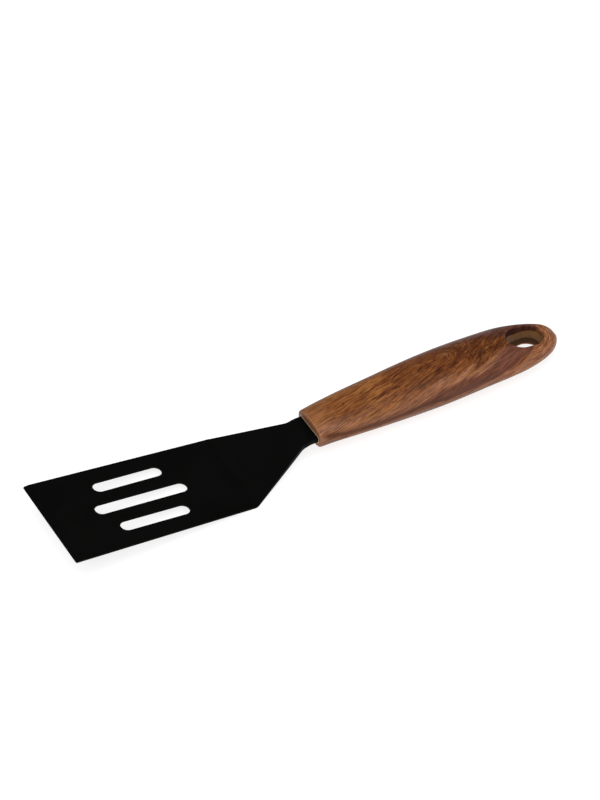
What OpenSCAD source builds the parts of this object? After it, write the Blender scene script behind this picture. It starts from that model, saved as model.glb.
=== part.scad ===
// Slotted spatula: a flexible slotted blade on a cranked neck, held in a thick wood-effect handle.
// It is drawn as it lies on a table, on the heel of its blade and the belly of its handle.
// X runs from the leading edge to the handle's end, Y across, Z up, with the origin under the middle.

/* [Blade] */
// Length from the leading edge to the shoulders
blade_l = 96.3; // [70:0.1:140]
// Width along the leading edge
tip_w = 55; // [40:0.5:90]
// Width at the shoulders
shoulder_w = 50.4; // [36:0.1:80]
// Thickness of the blade
blade_t = 1.1; // [0.8:0.1:2.5]
// Length of the bevel behind the leading edge
bevel_l = 3; // [1:0.5:6]
// Thickness left at the leading edge
edge_t = 0.5; // [0.3:0.1:0.7]
// Rounding of the two corners of the leading edge, seen from above
tip_r = 0.8; // [0.3:0.1:4]
// Rounding of the shoulders, seen from above
shoulder_r = 4; // [1:0.5:8]

/* [Slots] */
// Number of slots across the blade
slot_n = 3; // [1:2:3]
// Width of each slot
slot_w = 6.6; // [4.5:0.1:9]
// Distance from one slot's middle line to the next
slot_pitch = 14.1; // [11:0.1:16]
// Length of the middle slot, over its round ends
mid_slot_l = 47.9; // [20:0.1:52]
// Length of each side slot, over its round ends
side_slot_l = 35.7; // [16:0.1:44]
// Distance from the leading edge to the middle of every slot
slot_x = 47.8; // [30:0.1:56]

/* [Neck] */
// Angle between the blade and the rising neck
neck_angle = 23.5; // [16:0.5:32]
// Length of the rising neck, along its slope
neck_l = 38.3; // [30:0.1:55]
// Distance behind the shoulders over which the neck narrows
narrowing_l = 32.2; // [18:0.1:34]
// Width of the neck where it enters the handle
neck_w = 17; // [12:0.5:18]
// Thickness of the neck where it enters the handle
neck_t = 2.8; // [2:0.1:3.4]
// Length of level neck that shows before the handle
level_l = 4.4; // [2:0.1:10]
// Bend radius above the heel of the blade
heel_r = 8; // [3:0.5:15]
// Rounding where the neck stops narrowing, seen from above
narrow_r = 6; // [2:0.5:10]

/* [Tang] */
// Distance of the tang's middle below the handle's axis
tongue_drop = 0.6; // [0:0.1:1]
// Length of the tang inside the handle
tang_l = 46; // [30:1:60]
// Width of the tang at its far end
tang_end_w = 12; // [9:0.5:14]
// Diameter of the locking holes through the tang
lock_d = 5; // [3:0.1:6]
// Distance from the handle's front to the first locking hole
lock_x = 15; // [10:0.5:18]
// Distance between the two locking holes
lock_pitch = 18; // [12:0.5:20]

/* [Handle] */
// Length of the handle
grip_l = 136.1; // [110:0.1:170]
// Greatest width of the handle
grip_w = 30; // [26:0.5:38]
// Greatest height of the handle
grip_h = 20.4; // [18:0.1:27]
// Length of the rounded end, seen from above
end_round_l = 28; // [20:0.5:34]
// Length of the rounded end, seen from the side
end_edge_l = 6.5; // [3:0.5:8]
// Depth of the wood-effect layer above and below the core
skin_depth = 4.1; // [3:0.1:4.3]
// Thickness of the wood-effect layer at the sides and the end
skin_side = 2.6; // [1.8:0.1:3.2]
// Thickness of the core's collar above and below the tang
collar_t = 0.9; // [0.6:0.1:1.2]
// Thickness of the core's collar at the sides of the tang
collar_side = 0.7; // [0.5:0.1:1]
// Rounding of the handle's front edge
front_r = 0.8; // [0.4:0.1:1.2]
// Space left between the neck and what it sits in
fit_gap = 0.1; // [0.05:0.01:0.3]
// Space drawn between the core and the layer moulded over it
layer_gap = 0.05; // [0.02:0.01:0.1]

/* [Hanging hole] */
// Width of the hanging hole at its upper rim, across the handle
hang_w = 14.2; // [10:0.1:16]
// Length of the hanging hole at its upper rim, along the handle
hang_l = 19.2; // [16.5:0.1:22]
// Draft angle by which the hanging hole narrows downwards
hang_draft = 3; // [0:0.5:4]
// Distance from the middle of the hanging hole to the handle's end
hang_back = 17.8; // [16:0.1:22]
// Lean of the hanging hole towards the handle's end
hang_lean = 4; // [0:0.5:8]
// Fall of the handle's upper face at the hanging hole
hang_droop = 8; // [0:0.5:10]
// Rounding of the hanging hole's upper rim
lip_r = 0.8; // [0.4:0.1:1.4]
// Rounding of the hanging hole's lower rim
low_lip_r = 0.3; // [0.2:0.1:1.4]

/* [Hidden] */
$fn = 48;

// Handle outline, along its length: place, width, height above the axis, depth below it and sag of its widest
// line. Places are shares of grip_l, widths of grip_w, heights, depths and sags of grip_h.
handle_shares = [
    [0.00, 0.725, 0.275, 0.300, 0.000],
    [0.07, 0.800, 0.325, 0.302, 0.000],
    [0.16, 0.860, 0.375, 0.390, 0.000],
    [0.28, 0.903, 0.437, 0.472, 0.000],
    [0.40, 0.958, 0.488, 0.500, 0.000],
    [0.50, 0.993, 0.500, 0.496, 0.000],
    [0.60, 1.000, 0.476, 0.460, 0.000],
    [0.70, 0.990, 0.418, 0.408, 0.008],
    [0.80, 0.946, 0.327, 0.362, 0.025],
    [0.90, 0.895, 0.230, 0.360, 0.060],
    [1.00, 0.870, 0.118, 0.335, 0.120]
];
// Squareness of the handle's cross-section, above and below its widest line, and below it at the very front
top_square = 2.5;
belly_square = 2.2;
front_square = 3.3;
// Share of the handle's length over which the squareness of the front runs out
front_square_share = 0.2;
// Share by which the crown is cut flat round the hanging hole, above and below
flat_top_share = 0.10;
flat_belly_share = 0.18;
// Share of the half width left at the very end, and of the height
end_share = 0.04;
end_height_share = 0.3;
// Rings along the handle and points round each ring
ring_n = 36;
point_n = 40;
// Rings through the rounding of a rim or of the front edge
lip_n = 4;
// Points in each rounded corner of an outline
corner_n = 8;
// Overrun of every cutting shape
over = 5;

colour_head = [0.035, 0.037, 0.036];
colour_core = [0.62, 0.45, 0.27];
colour_grip = [0.46, 0.27, 0.16];

// Cubic through the rows of a table of shares, read at place s in column c
function row_at(s, k = 0) =
    k >= len(handle_shares) - 2 || s < handle_shares[k + 1][0] ? k : row_at(s, k + 1);
function slope_at(k, c) =
    let (a = max(k - 1, 0), b = min(k + 1, len(handle_shares) - 1))
    (handle_shares[b][c] - handle_shares[a][c]) / (handle_shares[b][0] - handle_shares[a][0]);
function share_at(s, c) =
    let (
        k = row_at(s),
        p = handle_shares[k],
        q = handle_shares[k + 1],
        w = q[0] - p[0],
        u = (s - p[0]) / w,
        m = slope_at(k, c) * w,
        n = slope_at(k + 1, c) * w
    )
    (2 * pow(u, 3) - 3 * pow(u, 2) + 1) * p[c] + (pow(u, 3) - 2 * pow(u, 2) + u) * m
    + (3 * pow(u, 2) - 2 * pow(u, 3)) * q[c] + (pow(u, 3) - pow(u, 2)) * n;

// Round closing of the last stretch l of the handle, at distance x from its front, down to share f
function closing(x, l, f) = max(f, sqrt(max(0, 1 - pow(max(0, x - grip_l + l) / l, 2))));
function half_w(x) = grip_w / 2 * share_at(x / grip_l, 1) * closing(x, end_round_l, end_share);
function height_up(x) = grip_h * share_at(x / grip_l, 2);
function depth_down(x) = grip_h * share_at(x / grip_l, 3);
function sag(x) = grip_h * share_at(x / grip_l, 4);
hang_x = grip_l - hang_back;
// Distance of ring i from the handle's front, with the rings closer together at both ends
function ring_x(i) = grip_l * (1 - cos(180 * pow(i / ring_n, 0.92))) / 2;
belly_depth = max([for (i = [0:ring_n]) depth_down(ring_x(i))]);

// Rise of the crown above its flat at distance x: it starts before the hanging hole and is full beside it
function rise(x, f) =
    let (u = min(1, max(0, (x - hang_x) / hang_l + 1.5)))
    1 + f * u * u * (3 - 2 * u);

// Squareness of the lower half of the section at distance x
function belly_square_at(x) =
    let (u = max(0, 1 - x / (grip_l * front_square_share)))
    belly_square + (front_square - belly_square) * u * u;

// One ring of the handle: its upper half and lower half are two squarish arcs that meet in the widest line,
// cut flat round the hole, with share c of their heights
function power(v, e) = sign(v) * pow(abs(v), 2 / e);
function ring(x, w, up, down, c = 1) = [
    for (j = [0:point_n - 1])
        let (
            a = 360 * j / point_n,
            above = a < 180,
            e = above ? top_square : belly_square_at(x),
            full = above ? up + sag(x) : down - sag(x),
            reach = full * rise(x, above ? flat_top_share : flat_belly_share)
        )
        [x, w * power(cos(a), e), c * min(full, max(-full, reach * power(sin(a), e))) - sag(x)]
];

// Closed solid through rings that have equally many points
module through_rings(rings) {
    m = len(rings[0]);
    n = len(rings);
    points = [for (r = rings) each r];
    sides = [
        for (i = [0:n - 2], j = [0:m - 1])
            let (k = (j + 1) % m)
            each [
                [i * m + j, (i + 1) * m + k, i * m + k],
                [i * m + j, (i + 1) * m + j, (i + 1) * m + k]
            ]
    ];
    start = [[for (j = [0:m - 1]) j]];
    finish = [[for (j = [m - 1:-1:0]) (n - 1) * m + j]];
    polyhedron(points, concat(start, sides, finish));
}

module grip_solid() {
    front = [
        for (i = [0:lip_n - 1])
            let (a = 90 * i / lip_n, x = front_r * (1 - cos(a)), in = front_r * (1 - sin(a)))
            ring(x, half_w(x) - in, height_up(x) - in, depth_down(x) - in)
    ];
    body = [
        for (i = [0:ring_n])
            let (x = ring_x(i), c = closing(x, end_edge_l, end_height_share))
            if (x > front_r) ring(x, half_w(x), height_up(x), depth_down(x), c)
    ];
    through_rings(concat(front, body));
}

// The core follows the handle's outline at the depth of the layer, grown by g,
// and starts with a flat collar round the tang that runs on forwards by lead
core_l = grip_l - skin_side;
core_from = 3 * front_r;
module core_solid(g, lead) {
    rings = [
        for (i = [0:ring_n])
            let (
                x = core_from + (core_l - core_from) * ring_x(i) / grip_l,
                o = core_from + (grip_l - core_from) * ring_x(i) / grip_l,
                w = half_w(o)
            )
            ring(
                x + g * (2 * i / ring_n - 1),
                w - min(skin_side, w / 2) + g,
                max(height_up(x) - skin_depth, neck_t / 2) + g,
                max(depth_down(x) - skin_depth, neck_t / 2) + g,
                closing(o, end_edge_l, end_height_share)
            )
    ];
    through_rings(rings);
    translate([-lead, 0, -tongue_drop])
        rotate([90, 0, 90])
            linear_extrude(lead + tang_l)
                round_box(neck_w / 2 + collar_side + fit_gap + g, neck_t / 2 + collar_t + g, collar_t);
}

// Rectangle with half sides a and b and round corners, centred on the origin
module round_box(a, b, r) {
    p = [[a, b], [-a, b], [-a, -b], [a, -b]];
    polygon([for (i = [0:3]) each corner(p[i], p[(i + 1) % 4], p[(i + 2) % 4], r)]);
}

// Outline of a slot with round ends, centred on the origin
module obround(l, w) {
    d = l - w;
    union() {
        square([d, w], center = true);
        translate([-d / 2, 0])
            circle(d = w);
        translate([d / 2, 0])
            circle(d = w);
    }
}

// Points of a slot's outline, grown by g, as a ring at height z
function obround_ring(l, w, g, z) = [
    for (j = [0:point_n - 1])
        let (a = 360 * (j + 0.5) / point_n, d = (l - w) / 2 * sign(cos(a)))
        [d + (w / 2 + g) * cos(a), (w / 2 + g) * sin(a), z]
];

// Round corner at q between p and r with radius rad, as points
function corner(p, q, r, rad) =
    let (
        u = (p - q) / norm(p - q),
        v = (r - q) / norm(r - q),
        half = acos(u * v) / 2,
        mid = (u + v) / norm(u + v),
        c = q + mid * rad / sin(half),
        a = c + (q + u * rad / tan(half) - c),
        b = c + (q + v * rad / tan(half) - c),
        t0 = atan2(a[1] - c[1], a[0] - c[0]),
        t1 = atan2(b[1] - c[1], b[0] - c[0]),
        turn = t1 - t0 > 180 ? t1 - t0 - 360 : t1 - t0 < -180 ? t1 - t0 + 360 : t1 - t0
    )
    [for (i = [0:corner_n]) c + rad * [cos(t0 + turn * i / corner_n), sin(t0 + turn * i / corner_n)]];

// Side view of the head, in the blade's own frame: the blade's upper face lies on z = 0
heel_cut = heel_r * tan(neck_angle / 2);
tongue_up = belly_depth - tongue_drop + neck_t / 2;
run_x = neck_l * cos(neck_angle) + heel_cut;
run_z = neck_l * sin(neck_angle) - heel_r;
// Tilt at which the heel and the handle's belly both touch the table
rest_tilt = acos((tongue_up - heel_r - blade_t) / norm([run_x, run_z])) - atan2(run_x, run_z);
neck_top = [blade_l + neck_l * cos(neck_angle), neck_l * sin(neck_angle)];
level_dir = [cos(rest_tilt), sin(rest_tilt)];
level_down = [sin(rest_tilt), -cos(rest_tilt)];
slope_down = [sin(neck_angle), -cos(neck_angle)];
tang_end = neck_top + level_dir * (level_l + tang_l);
// Share of the rising neck over which it thickens
thicken_share = 0.75;
thick_from = [blade_l, 0] + heel_cut * [cos(neck_angle), sin(neck_angle)];
thick_to = [blade_l, 0] + neck_l * thicken_share * [cos(neck_angle), sin(neck_angle)];

module side_view() {
    heel_top = [
        for (i = [0:corner_n])
            let (a = neck_angle * i / corner_n)
            [blade_l - heel_cut + heel_r * sin(a), heel_r * (1 - cos(a))]
    ];
    heel_under = [
        for (i = [corner_n:-1:0])
            let (a = neck_angle * i / corner_n)
            [blade_l - heel_cut + (heel_r + blade_t) * sin(a), heel_r - (heel_r + blade_t) * cos(a)]
    ];
    polygon(concat(
        [[0, -blade_t], [0, edge_t - blade_t], [bevel_l, 0]],
        heel_top,
        [neck_top, tang_end, tang_end + level_down * neck_t],
        [neck_top + level_down * neck_t / cos((neck_angle - rest_tilt) / 2)],
        [thick_to + slope_down * neck_t],
        heel_under
    ));
}

// Outline of the head from above, in the same frame, one half and its mirror image
narrow_x = blade_l + narrowing_l;
tang_from = neck_top[0] + level_dir[0] * level_l;
module plan_view() {
    half = concat(
        corner([0, 0], [0, tip_w / 2], [blade_l, shoulder_w / 2], tip_r),
        corner([0, tip_w / 2], [blade_l, shoulder_w / 2], [narrow_x, neck_w / 2], shoulder_r),
        corner([blade_l, shoulder_w / 2], [narrow_x, neck_w / 2], [tang_end[0], neck_w / 2], narrow_r),
        [[tang_from, neck_w / 2], [tang_end[0], tang_end_w / 2]]
    );
    polygon(concat(half, [for (i = [len(half) - 1:-1:0]) [half[i][0], -half[i][1]]]));
}

// From the blade's frame to the table: tilt about the leading edge, then lift the heel to z = 0
heel_low = -sin(rest_tilt) * (blade_l - heel_cut) + cos(rest_tilt) * heel_r - heel_r - blade_t;
function on_table_x(p) = cos(rest_tilt) * p[0] + sin(rest_tilt) * p[1];
grip_x = on_table_x(neck_top) + level_l;
tip_x = on_table_x([0, -blade_t]);
middle_x = (tip_x + grip_x + grip_l) / 2;

module to_table() {
    translate([-middle_x, 0, -heel_low])
        rotate([0, rest_tilt, 0])
            children();
}

module at_handle() {
    translate([grip_x - middle_x, 0, belly_depth])
        children();
}

// Locking holes through the tang, or the pegs of the core that fill them, drawn in the handle's frame
module locks(g) {
    for (i = [0:1])
        translate([lock_x + lock_pitch * i, 0, -tongue_drop])
            cylinder(h = neck_t + over, d = lock_d - 2 * g, center = true);
}

// Space of the tang inside the core
module tang_space() {
    translate([0, 0, -tongue_drop - neck_t / 2 - fit_gap])
        linear_extrude(neck_t + 2 * fit_gap)
            polygon([
                [-over, neck_w / 2 + fit_gap],
                [0, neck_w / 2 + fit_gap],
                [tang_l + neck_t, tang_end_w / 2 + fit_gap],
                [tang_l + neck_t, -tang_end_w / 2 - fit_gap],
                [0, -neck_w / 2 - fit_gap],
                [-over, -neck_w / 2 - fit_gap]
            ]);
}

// Growth of the hanging hole's outline at height z above the axis: none at the upper rim, less below it
function draft_at(z) = (z - height_up(hang_x)) * tan(hang_draft);

// Through hole for hanging, leaning about the middle of the handle's end
module hang_hole() {
    translate([hang_x, 0, 0])
        rotate([0, hang_lean, 0])
            through_rings([for (z = [-grip_h, grip_h]) obround_ring(hang_l, hang_w, draft_at(z), z)]);
}

// Rim with rounding r that opens upwards from depth r below z = 0, round the hole's outline grown by g
module rim(r, g) {
    rounding = [
        for (i = [0:lip_n])
            let (a = 90 * i / lip_n)
            obround_ring(hang_l, hang_w, g + r * (1 - cos(a)), r * (sin(a) - 1))
    ];
    through_rings(concat(rounding, [obround_ring(hang_l, hang_w, g + r, over)]));
}

module hang_rims() {
    translate([hang_x + sin(hang_lean) * height_up(hang_x), 0, height_up(hang_x)])
        rotate([0, hang_droop, 0])
            rim(lip_r, 0);
    translate([hang_x - sin(hang_lean) * depth_down(hang_x), 0, -depth_down(hang_x)])
        mirror([0, 0, 1])
            rim(low_lip_r, draft_at(-depth_down(hang_x)));
}

// Black moulded head: blade, neck and the tang inside the handle
module head() {
    color(colour_head)
        difference() {
            to_table()
                difference() {
                    intersection() {
                        translate([0, tip_w, 0])
                            rotate([90, 0, 0])
                                linear_extrude(2 * tip_w)
                                    side_view();
                        translate([0, 0, -blade_l])
                            linear_extrude(2 * blade_l)
                                plan_view();
                    }
                    for (k = [-(slot_n - 1) / 2:(slot_n - 1) / 2])
                        translate([slot_x, slot_pitch * k, -over])
                            linear_extrude(2 * over)
                                obround(k == 0 ? mid_slot_l : side_slot_l, slot_w);
                }
            at_handle()
                locks(0);
        }
}

// Tan moulded core that grips the tang and lines the hanging hole
module handle_core() {
    color(colour_core)
        at_handle()
            difference() {
                core_solid(0, 0);
                difference() {
                    tang_space();
                    locks(fit_gap);
                }
                hang_hole();
            }
}

// Wood-effect outer layer, moulded over the core
module handle_grip() {
    color(colour_grip)
        at_handle()
            difference() {
                grip_solid();
                core_solid(layer_gap, over);
                hang_hole();
                hang_rims();
            }
}

head();
handle_core();
handle_grip();
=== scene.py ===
"""Dresses the slotted spatula: black satin head, tan core and printed wood-effect handle, in a pale room."""

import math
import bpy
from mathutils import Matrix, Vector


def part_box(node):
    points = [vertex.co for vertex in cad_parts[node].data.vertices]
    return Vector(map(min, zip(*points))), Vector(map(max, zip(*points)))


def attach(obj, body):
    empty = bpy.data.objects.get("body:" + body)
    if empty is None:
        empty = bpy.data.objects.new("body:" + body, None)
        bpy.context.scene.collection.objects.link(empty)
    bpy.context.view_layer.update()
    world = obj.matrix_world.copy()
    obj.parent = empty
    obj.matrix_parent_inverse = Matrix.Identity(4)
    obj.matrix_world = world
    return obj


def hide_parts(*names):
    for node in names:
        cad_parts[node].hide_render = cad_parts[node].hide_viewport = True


bl_info = {
    "name": "Slotted Spatula",
    "version": (1, 0, 0),
    "blender": (4, 5, 0),
    "location": "View3D > Sidebar > Spatula",
    "description": "Builds a slotted spatula with a wood-effect handle and lights it on a pale floor",
    "category": "Add Mesh",
}

import bmesh
import bpy
import numpy as np
from mathutils import Matrix, Vector
from mathutils.geometry import tessellate_polygon

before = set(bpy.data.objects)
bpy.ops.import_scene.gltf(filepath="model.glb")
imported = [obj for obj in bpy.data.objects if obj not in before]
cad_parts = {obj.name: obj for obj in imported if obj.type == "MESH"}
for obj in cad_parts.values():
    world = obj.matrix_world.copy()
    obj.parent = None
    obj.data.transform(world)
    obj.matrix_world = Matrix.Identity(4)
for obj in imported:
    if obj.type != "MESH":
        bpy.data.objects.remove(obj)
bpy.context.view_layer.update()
MM = 0.001
GRIP_LOW, GRIP_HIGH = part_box("handle_grip")
HEAD_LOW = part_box("head")[0]


# Handle outline along its length: place, width, height above the axis, depth below it and sag of its widest
# line. Places are shares of the length, widths of the width, and heights, depths and sags of the height.
HANDLE_SHARES = np.array(
    [
        [0.00, 0.725, 0.275, 0.300, 0.000],
        [0.07, 0.800, 0.325, 0.302, 0.000],
        [0.16, 0.860, 0.375, 0.390, 0.000],
        [0.28, 0.903, 0.437, 0.472, 0.000],
        [0.40, 0.958, 0.488, 0.500, 0.000],
        [0.50, 0.993, 0.500, 0.496, 0.000],
        [0.60, 1.000, 0.476, 0.460, 0.000],
        [0.70, 0.990, 0.418, 0.408, 0.008],
        [0.80, 0.946, 0.327, 0.362, 0.025],
        [0.90, 0.895, 0.230, 0.360, 0.060],
        [1.00, 0.870, 0.118, 0.335, 0.120],
    ]
)
WIDTH, ABOVE, BELOW, SAG = range(1, 5)
PLACE = HANDLE_SHARES[:, 0]
AHEAD = np.minimum(np.arange(len(PLACE)) + 1, len(PLACE) - 1)
BEHIND = np.maximum(np.arange(len(PLACE)) - 1, 0)
SLOPES = (HANDLE_SHARES[AHEAD] - HANDLE_SHARES[BEHIND]) / (PLACE[AHEAD] - PLACE[BEHIND])[:, None]
# Squareness of the section above and below its widest line, below it at the front, and in the core's collar
TOP_SQUARE, BELLY_SQUARE, FRONT_SQUARE, COLLAR_SQUARE = 2.5, 2.2, 3.3, 6
# Share of the length over which the squareness of the front runs out
FRONT_SHARE = 0.2
# How far the crown is cut flat round the hole, above and below, and how soft the edge of that cut is
FLAT_TOP, FLAT_BELLY, FLAT_SOFTNESS = 0.10, 0.18, 0.4
# Lengths of the rounded end, seen from above and from the side, in mm
END_ROUND, END_EDGE = 28.0, 6.5
# Flat collar of the core: half its width, its height above and below the axis, and its reach back, in mm
COLLAR, COLLAR_REACH = (9.3, 1.75, 2.95), 30.0
# Least height of the core over and under its widest line, and the space between core and layer, in mm
CORE_LEAST, CORE_SPACE = 1.4, 0.05
# How the hanging hole leans and how it narrows downwards, as slopes
HOLE_LEAN, HOLE_DRAFT = math.tan(math.radians(4)), math.tan(math.radians(3))
# Soft ridge along each side: distance from the handle's front in mm, angle above the widest line in degrees
RIDGE_X = [0, 13, 35, 49, 62, 74, 84, 97, 103, 109, 116, 126, 136]
RIDGE_ANGLE = [12, 0, -6, -1, 12, 18, 21, 22, 28, 38, 46, 50, 52]
RIDGE_POWER = 1.2
# Height of the ridge and depth of the hollow above it in mm, and their widths and distance in degrees
RIDGE_HEIGHT, HOLLOW_DEPTH = 0.22, 0.10
RIDGE_WIDTH, HOLLOW_WIDTH, HOLLOW_ABOVE = 9, 14, 24
# Lengths over which the ridge comes up behind the handle's front and runs out before its end, in mm
RIDGE_START, RIDGE_END = 12, 14


def length_setting(name, description, default):
    """A length that a user can change, in metres."""
    return bpy.props.FloatProperty(name=name, description=description, default=default, unit="LENGTH")


def colour_setting(name, description, default):
    """A colour that a user can change."""
    return bpy.props.FloatVectorProperty(name=name, description=description, default=default, subtype="COLOR")


class HeadSizes(bpy.types.PropertyGroup):
    """Sizes of the black head, in the blade's own frame"""

    blade_length: length_setting("Blade length", "Leading edge to shoulders", 0.0963)
    tip_width: length_setting("Tip width", "Width along the leading edge", 0.055)
    shoulder_width: length_setting("Shoulder width", "Width at the shoulders", 0.0504)
    blade_thickness: length_setting("Blade thickness", "Thickness of the blade", 0.0011)
    bevel_length: length_setting("Bevel length", "Length of the bevel behind the leading edge", 0.003)
    edge_thickness: length_setting("Edge thickness", "Thickness left at the leading edge", 0.0005)
    edge_rounding: length_setting("Edge rounding", "Rounding of the moulded edges", 0.00022)
    slot_width: length_setting("Slot width", "Width of each slot", 0.0066)
    slot_pitch: length_setting("Slot pitch", "Distance between the slots' middle lines", 0.0141)
    neck_angle: bpy.props.FloatProperty(
        name="Neck angle",
        description="Angle between blade and rising neck",
        default=math.radians(23.5),
        subtype="ANGLE",
    )
    neck_length: length_setting("Neck length", "Length of the rising neck", 0.0383)
    neck_width: length_setting("Neck width", "Width where the neck enters the handle", 0.017)
    neck_thickness: length_setting("Neck thickness", "Thickness where the neck enters the handle", 0.0028)
    colour: colour_setting("Head colour", "Black of the moulding", (0.0010, 0.0012, 0.0009))


class HandleSizes(bpy.types.PropertyGroup):
    """Sizes of the handle"""

    width: length_setting("Handle width", "Greatest width of the handle", 0.030)
    height: length_setting("Handle height", "Greatest height of the handle", 0.02037)
    hole_length: length_setting("Hole length", "Length of the hanging hole", 0.0192)
    hole_width: length_setting("Hole width", "Width of the hanging hole", 0.0142)
    hole_back: length_setting("Hole place", "Middle of the hanging hole to the handle's end", 0.0178)
    skin_depth: length_setting("Layer depth", "Depth of the printed layer above and below the core", 0.0041)
    skin_side: length_setting("Layer side", "Thickness of the printed layer at the sides", 0.0026)


class PrintColours(bpy.types.PropertyGroup):
    """Colours of the wood-effect print and of the core"""

    light: colour_setting("Light grain", "Orange-brown ground of the print", (0.288, 0.113, 0.031))
    middle: colour_setting("Middle grain", "Red-brown of the broad bands", (0.145, 0.037, 0.008))
    dark: colour_setting("Dark grain", "Dark streaks and flecks", (0.036, 0.0075, 0.0020))
    # The pink sheen is partly the print's own pinkish tan and partly painted light: sheen on the near side,
    # highlight on the front edge.
    sheen: colour_setting("Pink sheen", "Pinkish tan of the near side", (0.270, 0.118, 0.058))
    plum: colour_setting("Plum grain", "Purplish brown beside the hole", (0.128, 0.045, 0.027))
    core: colour_setting("Core", "Olive tan of the core", (0.21, 0.090, 0.022))
    collar: colour_setting("Core's front", "Lighter tan of the core round the neck", (0.62, 0.42, 0.28))


def unit_corner(a, q, b, radius, steps=10):
    """Points of a round corner at q between the points a and b."""
    a, q, b = (np.array(p, float) for p in (a, q, b))
    u = (a - q) / np.linalg.norm(a - q)
    v = (b - q) / np.linalg.norm(b - q)
    half = math.acos(float(u @ v)) / 2
    centre = q + (u + v) / np.linalg.norm(u + v) * radius / math.sin(half)
    start = q + u * radius / math.tan(half) - centre
    end = q + v * radius / math.tan(half) - centre
    t0 = math.atan2(start[1], start[0])
    turn = math.atan2(end[1], end[0]) - t0
    turn = (turn + math.pi) % (2 * math.pi) - math.pi
    angles = t0 + turn * np.linspace(0, 1, steps + 1)
    return [tuple(centre + radius * np.array([math.cos(t), math.sin(t)])) for t in angles]


def new_piece(name, vertices, faces, node, smooth_angle):
    """A mesh piece that stands for a CAD node and rides on the one body."""
    mesh = bpy.data.meshes.new(name)
    mesh.from_pydata([tuple(v) for v in vertices], [], faces)
    work = bmesh.new()
    work.from_mesh(mesh)
    bmesh.ops.recalc_face_normals(work, faces=work.faces[:])
    work.to_mesh(mesh)
    work.free()
    piece = bpy.data.objects.new(name, mesh)
    bpy.context.scene.collection.objects.link(piece)
    for polygon in mesh.polygons:
        polygon.use_smooth = True
    mesh.set_sharp_from_angle(angle=math.radians(smooth_angle))
    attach(piece, "root")
    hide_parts(node)
    return piece


# Shader maths


class Field:
    """A shader socket that takes part in Python arithmetic."""

    def __init__(self, finish, socket):
        self.finish = finish
        self.socket = socket

    def math(self, operation, *others):
        """A Math node on this field and others."""
        return self.finish.math(operation, self, *others)

    def __add__(self, other):
        return self.math("ADD", other)

    __radd__ = __add__

    def __sub__(self, other):
        return self.math("SUBTRACT", other)

    def __rsub__(self, other):
        return self.finish.math("SUBTRACT", other, self)

    def __mul__(self, other):
        return self.math("MULTIPLY", other)

    __rmul__ = __mul__

    def __truediv__(self, other):
        return self.math("DIVIDE", other)

    def __rtruediv__(self, other):
        return self.finish.math("DIVIDE", other, self)

    def bell(self, centre, width):
        """One at centre, falling smoothly to nothing over a few widths."""
        off = (self - centre) / width
        return (off * off * -1.0).math("EXPONENT")

    def ramp(self, low, high):
        """Smooth rise from 0 at low to 1 at high."""
        sockets = {"Value": self, "From Min": low, "From Max": high}
        return self.finish.node("ShaderNodeMapRange", {"interpolation_type": "SMOOTHSTEP"}, sockets)


class Finish:
    """A material and its Principled surface."""

    def __init__(self, name, roughness, **constants):
        self.material = bpy.data.materials.new(name)
        self.material.use_nodes = True
        self.tree = self.material.node_tree
        self.surface = next(n for n in self.tree.nodes if n.type == "BSDF_PRINCIPLED")
        self.surface.inputs["Roughness"].default_value = roughness
        for key, value in constants.items():
            self.surface.inputs[key.replace("_", " ")].default_value = value

    def node(self, kind, settings=None, sockets=None, output=0):
        """A node of any type: its settings are set first, then the values or links of its sockets."""
        node = self.tree.nodes.new(kind)
        for key, value in (settings or {}).items():
            setattr(node, key, value)
        for key, value in (sockets or {}).items():
            if isinstance(value, Field):
                self.tree.links.new(value.socket, node.inputs[key])
            else:
                node.inputs[key].default_value = value
        return Field(self, node.outputs[output])

    def math(self, operation, *values):
        """A Math node on fields and plain numbers."""
        return self.node("ShaderNodeMath", {"operation": operation}, dict(enumerate(values)))

    def mix(self, share, a, b):
        """Colour a turning to colour b."""
        settings = {"data_type": "RGBA", "clamp_factor": True}
        a, b = (value if isinstance(value, Field) else (*value, 1.0) for value in (a, b))
        return self.node("ShaderNodeMix", settings, {0: share, 6: a, 7: b}, output=2)

    def coats(self, colour, *coats):
        """A colour under coats of others, each given by its share and its colour."""
        for share, coat in coats:
            colour = self.mix(share, colour, coat)
        return colour

    def numbers(self, vector):
        """The three numbers of a vector."""
        node = self.node("ShaderNodeSeparateXYZ", None, {0: vector}).socket.node
        return [Field(self, socket) for socket in node.outputs]

    def stored(self, name):
        """The three numbers that the mesh stores under a name."""
        settings = {"attribute_type": "GEOMETRY", "attribute_name": name}
        return self.numbers(self.node("ShaderNodeAttribute", settings, output=1))

    def position(self):
        """The place on the object, in metres."""
        return self.numbers(self.node("ShaderNodeTexCoord", output=3))

    def noise(self, x, y, z, detail, roughness=0.5):
        """Noise from 0 to 1 at a place given by three fields."""
        vector = self.node("ShaderNodeCombineXYZ", None, {0: x, 1: y, 2: z})
        sockets = {"Vector": vector, "Scale": 1.0, "Detail": detail, "Roughness": roughness}
        return self.node("ShaderNodeTexNoise", {"noise_dimensions": "3D"}, sockets)

    def feed(self, socket, value):
        """Links a field to one of the surface's sockets."""
        self.tree.links.new(value.socket, self.surface.inputs[socket])

    def relief(self, height, distance):
        """Fine relief from a height field, by a Bump node."""
        sockets = {"Height": height, "Distance": distance, "Strength": 1.0}
        self.feed("Normal", self.node("ShaderNodeBump", None, sockets))


def shade(colour, factor):
    """A colour made darker or lighter."""
    return tuple(c * factor for c in colour)


# Black head


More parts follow.
